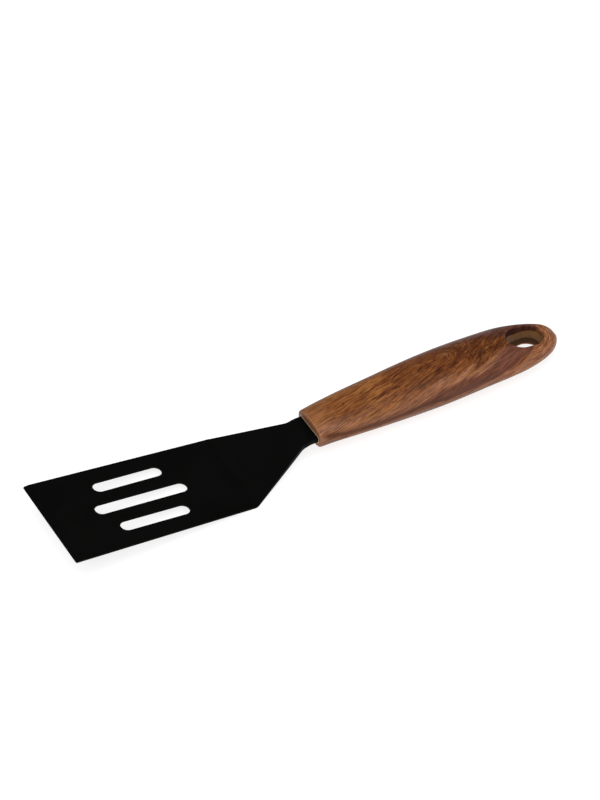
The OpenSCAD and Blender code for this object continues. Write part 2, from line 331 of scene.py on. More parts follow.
class SPATULA_OT_head(bpy.types.Operator):
    """Builds the slotted blade and its neck as one black moulding"""

    bl_idname = "spatula.head"
    bl_label = "Black head"

    def execute(self, context):
        sizes = context.scene.spatula_head
        vertices, faces = HeadForm(sizes).moulding()
        piece = new_piece("blade_and_neck", vertices, faces, "head", smooth_angle=40)
        weighted = piece.modifiers.new("even_shading", "WEIGHTED_NORMAL")
        weighted.keep_sharp = True
        piece.data.materials.append(black_nylon(sizes.colour))
        return {"FINISHED"}


def inset_loop(loop, inset):
    """The outline moved inwards, towards the material on its left."""
    q = np.array(loop)
    ahead = np.roll(q, -1, axis=0) - q
    ahead /= np.linalg.norm(ahead, axis=1)[:, None]
    behind = np.roll(ahead, 1, axis=0)
    normal = np.stack([-(ahead + behind)[:, 1], (ahead + behind)[:, 0]], axis=1)
    normal /= np.linalg.norm(normal, axis=1)[:, None]
    cosine = (normal * np.stack([-ahead[:, 1], ahead[:, 0]], axis=1)).sum(1)
    return [tuple(point) for point in q + normal * (inset / cosine)[:, None]]


class HeadForm:
    """Plan and side profile of the head in the blade's own frame, and the way from there to the table."""

    # Lengths of level run and tang, radius of the heel's bend, and how far the tang lies below the axis
    level_length = 0.0044
    tang_length = 0.046
    heel_radius = 0.008
    tang_drop = 0.0006
    # Share of the neck's length where it reaches its full thickness
    thicken_share = 0.75
    # Stretch over which kinks of the profile are rounded, and how far behind the bevel that starts
    kink_reach, bevel_past = 0.0010, 0.002
    # How far past the kink the neck's underside may run on
    kink_past = 0.003
    # Where faces are cut: spacing at kink, bevel and elsewhere, and the stretches left whole at both ends
    kink_step, bevel_step, cut_step = 0.0005, 0.0003, 0.008
    uncut_front, uncut_end = 0.012, 0.002
    # Shoulders to where the neck has narrowed, and half the width that the tang ends with
    narrowing_length = 0.0322
    tang_half_end = 0.006
    # Rounding of the corners at the leading edge, the shoulders, the neck and the tang's end
    tip_round, shoulder_round, neck_round, tang_round = 0.0008, 0.004, 0.006, 0.001
    # Middle of the slots behind the leading edge, and length of the right, middle and left slot
    slot_place = 0.0478
    slot_lengths = {-1: 0.0357, 0: 0.0479, 1: 0.0357}
    slot_points = 48
    # Share of the thickness that the rounded edge takes up on each face, and its steps
    rounding_share, rounding_steps = 0.2, 4
    # Steps of the heel's bend
    bend_steps = 12

    def __init__(self, sizes):
        self.sizes = sizes
        angle = sizes.neck_angle
        belly = (GRIP_HIGH.z - GRIP_LOW.z) / 2
        heel_cut = self.heel_radius * math.tan(angle / 2)
        self.heel_start = sizes.blade_length - heel_cut
        self.under_radius = self.heel_radius + sizes.blade_thickness
        rise = belly - self.tang_drop + sizes.neck_thickness / 2 - self.heel_radius - sizes.blade_thickness
        neck_x, neck_z = sizes.neck_length * math.cos(angle), sizes.neck_length * math.sin(angle)
        run_x, run_z = neck_x + heel_cut, neck_z - self.heel_radius
        tilt = math.acos(rise / math.hypot(run_x, run_z)) - math.atan2(run_x, run_z)
        c, s = math.cos(tilt), math.sin(tilt)
        self.turn = (c, s)
        self.kink = (sizes.blade_length + neck_x, neck_z)
        self.low = -s * self.heel_start + c * self.heel_radius - self.heel_radius - sizes.blade_thickness
        self.shift = GRIP_LOW.x - self.level_length - (c * self.kink[0] + s * self.kink[1])
        self.tang_from = self.kink[0] + c * self.level_length
        self.end = self.kink[0] + c * (self.level_length + self.tang_length)

    def stations(self):
        """Places along the blade where its faces are cut, so that they can follow the side profile."""
        bends = [math.sin(self.sizes.neck_angle * i / self.bend_steps) for i in range(self.bend_steps + 1)]
        heel = [self.heel_start + self.heel_radius * bend for bend in bends]
        heel += [self.heel_start + self.under_radius * bend for bend in bends[1:]]
        kink = [self.kink[0] + self.kink_step * i for i in range(-5, 6)]
        bevel = [self.sizes.bevel_length + self.bevel_step * i for i in range(-2, 3)]
        spread = np.arange(self.uncut_front, self.end - self.uncut_end, self.cut_step)
        return sorted({*heel, *kink, *bevel, *spread})

    def outlines(self):
        """The plan outline and its three slots; the material lies on the left of each."""
        sizes = self.sizes
        widths = (sizes.tip_width, sizes.shoulder_width, sizes.neck_width)
        half_tip, half_shoulder, half_neck = (width / 2 for width in widths)
        narrow = (sizes.blade_length + self.narrowing_length, half_neck)
        shoulder = (sizes.blade_length, half_shoulder)
        tang, tang_end = (self.tang_from, half_neck), (self.end, self.tang_half_end)
        left = (
            unit_corner((0, 0), (0, half_tip), shoulder, self.tip_round, 6)
            + unit_corner((0, half_tip), shoulder, narrow, self.shoulder_round)
            + unit_corner(shoulder, narrow, (self.end, half_neck), self.neck_round)
            + [tang]
            + unit_corner(tang, tang_end, (self.end, 0), self.tang_round, 4)
        )
        outline = [(x, -y) for x, y in left] + left[::-1]
        return [outline] + [self.slot(k, length) for k, length in self.slot_lengths.items()]

    def slot(self, k, length):
        """Outline of one slot, k pitches to the left of the middle one."""
        radius = self.sizes.slot_width / 2
        reach = (length - self.sizes.slot_width) / 2
        ring = []
        for i in range(self.slot_points):
            a = -2 * math.pi * (i + 0.5) / self.slot_points
            x = self.slot_place + math.copysign(reach, math.cos(a)) + radius * math.cos(a)
            ring.append((x, self.sizes.slot_pitch * k + radius * math.sin(a)))
        return ring

    def edge_levels(self):
        """Inset and share of the thickness at each step of the rounded edge, from the upper face down."""
        upper = []
        for i in range(self.rounding_steps + 1):
            a = math.radians(90 * i / self.rounding_steps)
            inset = self.sizes.edge_rounding * (1 - math.sin(a))
            upper.append((inset, 1 - self.rounding_share * (1 - math.cos(a))))
        return upper + [(inset, 1 - share) for inset, share in reversed(upper)]

    def moulding(self):
        """Points and faces of the head: two skins joined by rounded edges, bent to the side profile."""
        loops, levels = self.outlines(), self.edge_levels()
        vertices, faces, upper, lower = [], [], [], []
        for loop in loops:
            n, first = len(loop), len(vertices)
            for inset, share in levels:
                vertices += [(x, y, share) for x, y in inset_loop(loop, inset)]
            last = len(vertices) - n
            for row in range(first, last, n):
                for k in range(n):
                    a, b = row + k, row + (k + 1) % n
                    faces.append((a, a + n, b + n, b))
            upper += range(first, first + n)
            lower += range(last, last + n)
        rounding = self.sizes.edge_rounding
        caps = [[Vector((x, y, 0)) for x, y in inset_loop(loop, rounding)] for loop in loops]
        flat = sum(caps, [])
        for a, b, c in tessellate_polygon(caps):
            if (flat[b] - flat[a]).cross(flat[c] - flat[a]).z < 0:
                b, c = c, b
            faces.append((upper[a], upper[b], upper[c]))
            faces.append((lower[a], lower[c], lower[b]))

        work = bmesh.new()
        made = [work.verts.new(v) for v in vertices]
        for face in faces:
            work.faces.new([made[i] for i in face])
        for station in self.stations():
            geometry = work.verts[:] + work.edges[:] + work.faces[:]
            bmesh.ops.bisect_plane(
                work, geom=geometry, dist=1e-7, plane_co=(station, 0, 0), plane_no=(1, 0, 0)
            )
        work.verts.index_update()
        points = [self.placed(vertex.co) for vertex in work.verts]
        faces = [[vertex.index for vertex in face.verts] for face in work.faces]
        work.free()
        return points, faces

    def run(self, x):
        """Height of the level run's upper face, in the blade's frame."""
        return self.kink[1] + (x - self.kink[0]) * self.turn[1] / self.turn[0]

    def top(self, x):
        """Height of the upper face, in the blade's frame."""
        sizes, start = self.sizes, self.heel_start
        if x < sizes.bevel_length:
            return (sizes.edge_thickness - sizes.blade_thickness) * (1 - x / sizes.bevel_length)
        if x < start:
            return 0.0
        if x < start + self.heel_radius * math.sin(sizes.neck_angle):
            return self.heel_radius - math.sqrt(self.heel_radius**2 - (x - start) ** 2)
        if x < self.kink[0]:
            return (x - sizes.blade_length) * math.tan(sizes.neck_angle)
        return self.run(x)

    def under(self, x):
        """Height of the lower face, in the blade's frame."""
        sizes, start, radius = self.sizes, self.heel_start, self.under_radius
        sine, cosine = math.sin(sizes.neck_angle), math.cos(sizes.neck_angle)
        if x < start:
            return -sizes.blade_thickness
        if x < start + radius * sine:
            return self.heel_radius - math.sqrt(radius**2 - (x - start) ** 2)
        reach = sizes.neck_length * self.thicken_share
        x0, z0 = start + radius * sine, self.heel_radius - radius * cosine
        x1 = sizes.blade_length + reach * cosine + sizes.neck_thickness * sine
        z1 = reach * sine - sizes.neck_thickness * cosine
        if x < x1:
            return z0 + (z1 - z0) * (x - x0) / (x1 - x0)
        run = self.run(x) - sizes.neck_thickness / self.turn[0]
        if x < self.kink[0] + self.kink_past:
            return min(z1 + (x - x1) * math.tan(sizes.neck_angle), run)
        return run

    def smooth(self, profile, x):
        """The profile averaged over a short stretch, which rounds its kinks."""
        return sum(profile(x + self.kink_reach * i / 3) for i in range(-3, 4)) / 7

    def placed(self, point):
        """From plan place and share of thickness to the row's frame."""
        x = point.x
        if x > self.sizes.bevel_length + self.bevel_past:
            low, high = self.smooth(self.under, x), self.smooth(self.top, x)
        else:
            low, high = self.under(x), self.top(x)
        z = low + (high - low) * point.z
        c, s = self.turn
        return Vector((c * x + s * z + self.shift, point.y, -s * x + c * z - self.low))


def black_nylon(colour):
    """Satin black moulded nylon with a faint cloudy gloss and a very fine grain."""
    finish = Finish("black_nylon", 0.42, Specular_IOR_Level=0.035)
    # Clouds about 2 cm across and a grain of about 0.4 mm
    place = finish.position()
    cloud = finish.noise(*[axis * 45 for axis in place], detail=3.0)
    grain = finish.noise(*[axis * 2600 for axis in place], detail=1.0)
    lighter = tuple(c * 1.3 + 0.0004 for c in colour)
    finish.feed("Base Color", finish.mix(cloud.ramp(0.35, 0.7), colour, lighter))
    finish.feed("Roughness", 0.40 + cloud * 0.06 + grain * 0.05)
    finish.relief(grain, 0.00002)
    return finish.material


# Handle


def soft_cut(crown, rise):
    """The crown cut flat at 1, with an edge that is softer the further it rises above the cut."""
    soft = np.maximum(FLAT_SOFTNESS * (rise - 1), 1e-6)
    below = np.clip(0.5 + (1 - crown) / (2 * soft), 0, 1)
    return crown * below + (1 - below) - soft * below * (1 - below)


class HandleForm:
    """Closed form of the handle or its core: heights over a plan outline, in mm from front and axis."""

    def __init__(self, sizes, side=0.0, depth=0.0, grow=0.0):
        self.full = (GRIP_HIGH.x - GRIP_LOW.x) / MM
        self.length = self.full - side + grow
        self.half = sizes.width / MM / 2
        self.height = sizes.height / MM
        self.side = side
        self.depth = depth
        self.grow = grow
        self.round = END_ROUND - side
        self.hole_x = self.full - sizes.hole_back / MM
        self.hole = (sizes.hole_length / MM / 2, sizes.hole_width / MM / 2)
        self.rim_height = self.height * float(self.share(self.hole_x, ABOVE))

    def share(self, x, column):
        """Cubic through the rows of the table of shares."""
        s = np.clip(np.asarray(x, float) / self.full, 0, 1)
        k = np.clip(np.searchsorted(PLACE, s, side="right") - 1, 0, len(PLACE) - 2)
        width = PLACE[k + 1] - PLACE[k]
        u = (s - PLACE[k]) / width
        p, q = HANDLE_SHARES[k, column], HANDLE_SHARES[k + 1, column]
        m, n = SLOPES[k, column] * width, SLOPES[k + 1, column] * width
        start = (2 * u**3 - 3 * u**2 + 1) * p + (u**3 - 2 * u**2 + u) * m
        return start + (3 * u**2 - 2 * u**3) * q + (u**3 - u**2) * n

    def closing(self, x, reach):
        """Round closing over the last stretch of the handle."""
        return np.sqrt(np.clip(1 - (np.clip(x - self.length + reach, 0, None) / reach) ** 2, 0, 1))

    def collar(self, x):
        """One where the core is a flat collar round the neck, falling to nothing behind it."""
        u = np.clip(np.asarray(x, float) / COLLAR_REACH, 0, 1)
        return (1 - u * u * (3 - 2 * u)) if self.depth else u * 0

    def sag(self, x):
        """Fall of the widest line below the axis."""
        return self.height * self.share(x, SAG)

    def width_at(self, x):
        """Half the width of a section."""
        flat = self.collar(x)
        plain = self.half * self.share(x, WIDTH) - self.side
        return (plain * (1 - flat) + COLLAR[0] * flat + self.grow) * self.closing(x, self.round)

    def heights(self, x):
        """Reach above and below the widest line."""
        flat, sag, edge = self.collar(x), self.sag(x), self.closing(x, END_EDGE)
        reaches = []
        for column, collar in ((ABOVE, COLLAR[1]), (BELOW, COLLAR[2])):
            plain = np.maximum(self.height * self.share(x, column) - self.depth, CORE_LEAST)
            reaches.append(plain * (1 - flat) + collar * flat)
        up, down = reaches
        return (up + sag + self.grow) * edge, (down - sag + self.grow) * edge

    def rest_height(self):
        """Height of the axis over the table that the handle's belly rests on."""
        x = np.linspace(0, self.full, 400)
        return float(self.height * self.share(x, BELOW).max())

    def squareness(self, x, above):
        """Power of the section's curve: 2 is an ellipse, and more is squarer."""
        flat = self.collar(x)
        front = np.clip(1 - np.asarray(x, float) / (self.full * FRONT_SHARE), 0, 1) ** 2
        plain = TOP_SQUARE if above else BELLY_SQUARE + (FRONT_SQUARE - BELLY_SQUARE) * front
        return plain * (1 - flat) + COLLAR_SQUARE * flat

    def z(self, x, y, above):
        """Height of the upper or lower skin over a place of the plan."""
        w = np.maximum(self.width_at(x), 1e-9)
        up, down = self.heights(x)
        e = self.squareness(x, above)
        # The flat grows over one hole length, up to the front of the hole.
        u = np.clip((x - self.hole_x) / (2 * self.hole[0]) + 1.5, 0, 1)
        rise = 1 + (FLAT_TOP if above else FLAT_BELLY) * u * u * (3 - 2 * u)
        rho = np.clip(np.abs(y) / w, 0, 1)
        crown = soft_cut(rise * np.clip(1 - rho**e, 0, 1) ** (1 / e), rise)
        if not self.depth:
            crown = crown + self.ridge(x, rho, crown, above) / np.maximum(up if above else down, 1)
        return crown * (up if above else -down) - self.sag(x)

    def ridge(self, x, rho, crown, above):
        """The soft ridge along each side of the handle, in mm."""
        sine, cosine = np.clip(crown, 0, 1) ** RIDGE_POWER, rho**RIDGE_POWER
        angle = np.degrees(np.arctan2(sine if above else -sine, cosine))
        off = angle - np.interp(x, RIDGE_X, RIDGE_ANGLE)
        crest = np.exp(-((off / RIDGE_WIDTH) ** 2)) * RIDGE_HEIGHT
        hollow = np.exp(-(((off - HOLLOW_ABOVE) / HOLLOW_WIDTH) ** 2)) * HOLLOW_DEPTH
        swell = (crest - hollow) * np.clip(x / RIDGE_START, 0, 1)
        swell = swell * np.clip((self.length - x) / RIDGE_END, 0, 1)
        # It fades where the two skins meet along the widest line.
        return swell * np.clip(sine * 4, 0, 1)

    def outline(self, start, count):
        """Plan outline from the near side of section x = start, round the end, to its far side."""
        bend = self.length - self.round
        turn = bend + self.round * np.sin(np.radians(np.linspace(0, 90, 400)))
        xs = np.concatenate([np.linspace(start, bend, 200)[:-1], turn])
        ys = self.width_at(xs)
        ys[-1] = 0
        q = np.concatenate([np.stack([xs, -ys], 1), np.stack([xs, ys], 1)[::-1][1:]])
        run = np.concatenate([[0], np.cumsum(np.linalg.norm(np.diff(q, axis=0), axis=1))])
        at = np.linspace(0, run[-1], count + 1)
        points = np.stack([np.interp(at, run, q[:, 0]), np.interp(at, run, q[:, 1])], 1)
        points[0], points[-1] = q[0], q[-1]
        points[count // 2] = (self.length, 0)
        return points

    def hole_at(self, above):
        """Middle of the hanging hole on the upper or lower skin, and how much it has narrowed there."""
        up, down = self.heights(self.hole_x)
        z = float((up if above else -down) - self.sag(self.hole_x))
        return self.hole_x + HOLE_LEAN * z, (self.rim_height - z) * HOLE_DRAFT

    def hole_distance(self, x, y, centre, narrowing):
        """Distance from the hanging hole's outline."""
        dx = np.clip(np.abs(x - centre) - (self.hole[0] - self.hole[1]), 0, None)
        return np.hypot(dx, y) - self.hole[1] + narrowing

    def hole_points(self, directions, centre, narrowing):
        """Points of the hanging hole's outline in the given directions."""
        reach, radius = self.hole[0] - self.hole[1], self.hole[1] - narrowing
        c, s = np.cos(directions), np.sin(directions)
        off = np.clip(c * 3, -1, 1) * reach + radius * c
        past = np.clip((np.abs(off) - reach) / radius, 0, 1)
        return np.stack([centre + off, radius * np.sqrt(1 - past**2) * np.sign(s)], 1)


class Shell:
    """Collects the points and faces of a closed handle form."""

    # Points of a section, sections before the hole and where the last of them lies, in mm
    ring = 128
    sections = 92
    joint_x = 98.0
    # Points of the outline round the handle's end, and rows from the hole's rim out to it
    outline_count = 120
    patch_rows = 26
    # Steps of a rounded edge
    edge_steps = 6
    # How evenly the spokes from the rim are spread, and the share of the width from which their rows bunch up
    even_share, bunch_from = 0.45, 0.7
    # Length of the handle's end where they bunch up all round, in mm
    bunched_end = 3

    def __init__(self):
        self.points = []
        self.faces = []

    def add(self, rows):
        """Adds points and returns their numbers."""
        first = len(self.points)
        self.points += [tuple(row) for row in rows]
        return list(range(first, first + len(rows)))

    def strip(self, a, b):
        """Faces between two closed rows of equally many points."""
        n = len(a)
        for k in range(n):
            j = (k + 1) % n
            face = [a[k], a[j], b[j], b[k]]
            face = [v for i, v in enumerate(face) if v != face[i - 1]]
            if len(face) > 2:
                self.faces.append(tuple(face))

    def skin(self, form, lips, front_rounding):
        """Adds one skin of the form. Returns the front ring and the two rims of the hanging hole."""
        m, half = self.ring, self.ring // 2
        angles = np.radians(360 * np.arange(m) / m)
        above = np.arange(m) <= half
        stations = list(np.linspace(0, self.joint_x, self.sections))
        if front_rounding:
            turns = [math.radians(90 * i / self.edge_steps) for i in range(self.edge_steps + 1)]
            rounded = [front_rounding * (1 - math.cos(turn)) for turn in turns]
            stations = rounded + [s for s in stations if s > front_rounding * 1.3]
        rows = []
        for x in stations:
            inset = 0.0
            if x < front_rounding:
                inset = front_rounding - math.sqrt(max(0.0, front_rounding**2 - (front_rounding - x) ** 2))
            w = float(form.width_at(x))
            e = np.where(above, form.squareness(x, True), form.squareness(x, False))
            y = w * np.sign(np.cos(angles)) * np.abs(np.cos(angles)) ** (2 / e)
            along = np.full(m, x)
            z = np.where(above, form.z(along, y, True), form.z(along, y, False))
            up, down = form.heights(np.array([x]))
            z = np.where(z > 0, z * (up - inset) / up, z * (down - inset) / down)
            rows.append(self.add(np.stack([along, y * (w - inset) / w, z], 1)))
        for a, b in zip(rows, rows[1:]):
            self.strip(a, b)
        joint = rows[-1]
        outline = form.outline(self.joint_x, self.outline_count)[1:-1]
        edge = self.add(np.stack([outline[:, 0], outline[:, 1], -form.sag(outline[:, 0])], 1))
        rims = []
        for is_above, lip in zip((True, False), lips):
            across = joint[: half + 1] if is_above else [joint[0]] + joint[: half - 1 : -1]
            rims.append(self.patch(form, across + edge, is_above, lip))
        return rows[0], rims[0], rims[1]

    def patch(self, form, loop, is_above, lip):
        """Skin round the hanging hole, from the hole's rim out to a closed loop of points."""
        outer = np.array([self.points[i][:2] for i in loop])
        centre, narrowing = form.hole_at(is_above)
        direction = np.unwrap(np.arctan2(outer[:, 1], outer[:, 0] - centre))
        even = direction[0] + (direction[-1] - direction[0]) * np.arange(len(loop)) / (len(loop) - 1)
        spokes = (1 - self.even_share) * direction + self.even_share * even
        inner = form.hole_points(spokes, centre, narrowing)
        reach = np.abs(outer[:, 1]) / np.maximum(form.width_at(outer[:, 0]), 1e-6)
        sideways = np.clip((reach - self.bunch_from) / (1 - self.bunch_from), 0, 1)
        sideways[outer[:, 0] > form.length - self.bunched_end] = 1
        sideways = sideways * sideways * (3 - 2 * sideways)
        lengths = np.linalg.norm(outer - inner, axis=1)
        shares = [np.zeros(len(loop))]
        if lip:
            turns = [math.radians(90 * i / self.edge_steps) for i in range(self.edge_steps, -1, -1)]
            shares = [lip * (1 - math.sin(turn)) / lengths for turn in turns]
        first = shares[-1]
        for r in range(1, self.patch_rows):
            t = r / self.patch_rows
            share = t + (math.sin(math.pi * t / 2) - t) * sideways
            shares.append(first + (1 - first) * share)
        rows = []
        for share in shares:
            q = inner + (outer - inner) * share[:, None]
            z = form.z(q[:, 0], q[:, 1], is_above)
            if lip:
                d = np.clip(form.hole_distance(q[:, 0], q[:, 1], centre, narrowing), 0, lip)
                drop = lip - np.sqrt(lip**2 - (lip - d) ** 2)
                z = z - drop * (1 if is_above else -1)
            rows.append(self.add(np.column_stack([q, z])))
        rows.append(loop)
        for a, b in zip(rows, rows[1:]):
            self.strip(a, b)
        return rows[0]

    def wall(self, a, b, rows):
        """Wall of the hanging hole between two rims."""
        pa, pb = np.array([self.points[i] for i in a]), np.array([self.points[i] for i in b])
        previous = a
        for r in range(1, rows + 1):
            row = b if r == rows else self.add(pa + (pb - pa) * r / rows)
            self.strip(previous, row)
            previous = row


class Girth:
    """Distances round the handle's sections, tabled along the handle and out from the middle plane."""

    stations = 280
    steps = 48

    def __init__(self, form):
        self.length = form.length
        x = np.linspace(0, form.length, self.stations)
        reach = form.width_at(x)[:, None] * np.sin(np.linspace(0, math.pi / 2, self.steps))
        self.runs = {}
        for above in (True, False):
            z = form.z(np.repeat(x[:, None], self.steps, 1), reach, above)
            pieces = np.hypot(np.diff(reach, axis=1), np.diff(z, axis=1))
            self.runs[above] = np.pad(np.cumsum(pieces, axis=1), ((0, 0), (1, 0)))

    def run(self, x, share, above):
        """Distance from the middle line of the top or underside out to a share of the half width."""
        # Just under the last row and column, so that a next one is always there.
        row = np.clip(x / self.length, 0, 1) * (self.stations - 1.001)
        column = np.arcsin(np.clip(share, 0, 1)) / (math.pi / 2) * (self.steps - 1.001)
        i, j = row.astype(int), column.astype(int)
        u, v = row - i, column - j
        runs = self.runs[above]
        near = runs[i, j] * (1 - v) + runs[i, j + 1] * v
        far = runs[i + 1, j] * (1 - v) + runs[i + 1, j + 1] * v
        return near * (1 - u) + far * u


def handle_piece(name, shell, node, form):
    """Turns the collected points into a piece, with the places that its print is laid out by."""
    q = np.array(shell.points)
    front = np.array([GRIP_LOW.x, 0, GRIP_LOW.z + form.rest_height() * MM])
    piece = new_piece(name, q * MM + front, shell.faces, node, smooth_angle=35)
    x, y, z = q.T
    girth = Girth(form)
    share = np.abs(y) / np.maximum(form.width_at(x), 1e-6)
    above = z >= -form.sag(x)
    half_round = girth.run(x, np.ones_like(x), True) + girth.run(x, np.ones_like(x), False)
    over, under = girth.run(x, share, True), girth.run(x, share, False)
    from_top = np.where(above, over, half_round - under)
    from_under = half_round - from_top
    angle = np.radians(np.interp(x, RIDGE_X, RIDGE_ANGLE))
    ridge_share = np.cos(angle) ** (1 / RIDGE_POWER)
    over, under = girth.run(x, ridge_share, True), girth.run(x, ridge_share, False)
    to_ridge = np.where(angle >= 0, over, half_round - under)
    skin = np.where(above, form.z(x, y, True) - z, z - form.z(x, y, False))
    side = np.where(y < 0, -1.0, 1.0)
    places = {
        "print_top": (x, side * from_top, to_ridge - from_top),
        "print_under": (x, side * from_under, np.clip(skin, 0, None)),
    }
    for key, values in places.items():
        layer = piece.data.attributes.new(key, "FLOAT_VECTOR", "POINT")
        layer.data.foreach_set("vector", np.stack(values, 1).astype(np.float32).ravel())
    return piece


class SPATULA_OT_grip(bpy.types.Operator):
    """Builds the printed wood-effect layer round the handle's core"""

    bl_idname = "spatula.grip"
    bl_label = "Wood-effect handle"

    # Rounding of the hole's upper and lower rim and of the front edge in mm, and rows of faces in the hole
    lips = (0.8, 0.3)
    front_rounding = 0.8
    wall_rows = 6

    def execute(self, context):
        sizes = context.scene.spatula_handle
        outer = HandleForm(sizes)
        inner = HandleForm(sizes, sizes.skin_side / MM, sizes.skin_depth / MM, CORE_SPACE)
        shell = Shell()
        front, *rims = shell.skin(outer, self.lips, self.front_rounding)
        front_in, *rims_in = shell.skin(inner, (0.0, 0.0), 0.0)
        shell.strip(front, front_in)
        for rim, rim_in in zip(rims, rims_in):
            shell.wall(rim, rim_in, self.wall_rows)
        piece = handle_piece("wood_effect_handle", shell, "handle_grip", outer)
        piece.data.materials.append(wood_print(context.scene.spatula_print))
        return {"FINISHED"}


class SPATULA_OT_core(bpy.types.Operator):
    """Builds the tan core that lines the hanging hole and rings the neck"""

    bl_idname = "spatula.core"
    bl_label = "Handle core"

    # Mouth that the tang enters by: half its width and height, its fall below the axis and its depth, in mm
    mouth_half, mouth_drop, mouth_depth = (8.6, 1.5), 0.6, 48.8
    mouth_taper = 0.74
    wall_rows = 8

    def execute(self, context):
        sizes = context.scene.spatula_handle
        form = HandleForm(sizes, sizes.skin_side / MM, sizes.skin_depth / MM)
        shell = Shell()
        front, rim_top, rim_under = shell.skin(form, (0.0, 0.0), 0.0)
        shell.wall(rim_top, rim_under, self.wall_rows)
        drop = self.mouth_drop
        mouth = []
        for _, y, z in (shell.points[i] for i in front):
            reach = max(abs(y) / self.mouth_half[0], abs(z + drop) / self.mouth_half[1])
            mouth.append((0.0, y / reach, (z + drop) / reach - drop))
        edge = shell.add(mouth)
        back = shell.add(np.array(mouth) * [0, self.mouth_taper, 1] + [self.mouth_depth, 0, 0])
        end = shell.add([(self.mouth_depth, 0.0, -drop)])
        shell.strip(front, edge)
        shell.strip(edge, back)
        shell.strip(back, end * len(back))
        piece = handle_piece("tan_core", shell, "handle_core", form)
        piece.data.materials.append(tan_plastic(context.scene.spatula_print))
        return {"FINISHED"}


def tan_plastic(colours):
    """Tan moulded plastic, slightly cloudy, with the fine marks of moulding, painted shade towards the bottom
    and a lighter front edge.
    """
    finish = Finish("tan_plastic", 0.5, Specular_IOR_Level=0.2)
    x, y, z = finish.stored("print_under")
    height = finish.position()[2] / MM
    cloud = finish.noise(x * 0.35, y * 0.35, z * 0.35, detail=3.0)
    marks = finish.noise(x * 0.9, y * 2.6, z * 0.8, detail=2.0)
    base = colours.core
    colour = finish.coats(
        base,
        (cloud.ramp(0.3, 0.7), shade(base, 0.78)),
        (marks.ramp(0.5, 0.75) * 0.35, shade(base, 0.5)),
        # Painted shade: darker towards the bottom, where the hanging hole's lower wall lies in shade.
        (height.ramp(11.0, 5.0) * 0.7, shade(base, 0.35)),
        (x.ramp(3.0, 0.5) * 0.8, colours.collar),
    )
    finish.feed("Base Color", colour)
    finish.feed("Roughness", 0.46 + marks * 0.12)
    finish.relief(marks, 0.00004)
    return finish.material


# Wood-effect print, in mm along the handle from its front and round it from the middle of its top


class Grain:
    """The print's grain along one set of lines."""

    # Each part: how fast it changes along and across the lines, its seed, its detail and its roughness
    parts = {
        "streak": (0.035, 0.45, 0.0, 2.0, 0.5),
        "flame": (0.07, 1.0, 3.1, 2.0, 0.6),
        "fibre": (0.10, 2.0, 5.3, 2.0, 0.8),
        "fleck": (0.30, 1.6, 7.7, 1.0, 0.6),
        "hair": (0.22, 3.2, 9.1, 0.0, 0.5),
    }

    def __init__(self, finish, along, across, seed):
        for part, (run, width, own_seed, detail, roughness) in self.parts.items():
            noise = finish.noise(along * run, across * width, seed + own_seed, detail, roughness)
            setattr(self, part, noise)

    def towards(self, other, share):
        """This grain turning to another one."""
        for part in self.parts:
            own = getattr(self, part)
            setattr(self, part, own + (getattr(other, part) - own) * share)

    def pale_fibres(self):
        """Share of the light fibres."""
        return self.fibre.ramp(0.50, 0.40)

    def dark_fibres(self):
        """Share of the dark fibres."""
        return self.fibre.ramp(0.50, 0.61)

    def pale_hairs(self):
        """Share of the finest light lines."""
        return self.hair.ramp(0.55, 0.70)

    def dark_hairs(self):
        """Share of the finest dark lines."""
        return self.hair.ramp(0.45, 0.30)


# Dark veins on the handle's top: start and end, along and across, then width in mm and strength
VEINS = (
    ((10, -9.0), (31, -6.8), 0.7, 0.60),
    ((25, -3.6), (35, -2.4), 0.5, 0.50),
    ((31, -7.0), (51, 0.8), 0.9, 0.85),
    ((40, 3.4), (66, 6.8), 0.6, 0.45),
    ((41, -11.4), (63, -7.0), 0.8, 0.50),
    ((51, -5.4), (72, 2.8), 0.5, 0.70),
    ((59, -9.2), (72, -2.6), 0.9, 0.75),
)
# Tip and middle line of the arch, and where the rings of the rounded end have their middle before its edge
ARCH_TIP, ARCH_MIDDLE, END_MIDDLE = 84.5, 2.5, 18.0
# Colours of the dark line along the ridge, partly print and partly painted shade, of the painted greyish
# reflection on the belly and of the painted shade in the lower part of the hole
CREASE_PRINT_AND_SHADE, BELLY_REFLECTION, HOLE_SHADE = (0.080, 0.022, 0.008), (0.17, 0.092, 0.064), (0.042, 0.018, 0.006)


def vein(x, s, start, end, width, strength):
    """Share of one dark vein, thinning out towards both its ends."""
    run, rise = end[0] - start[0], end[1] - start[1]
    length = math.hypot(run, rise)
    along = ((x - start[0]) * run + (s - start[1]) * rise) / length**2
    across = ((s - start[1]) * run - (x - start[0]) * rise) / length
    return across.bell(0.0, width) * along.ramp(-0.1, 0.35) * along.ramp(1.1, 0.65) * strength


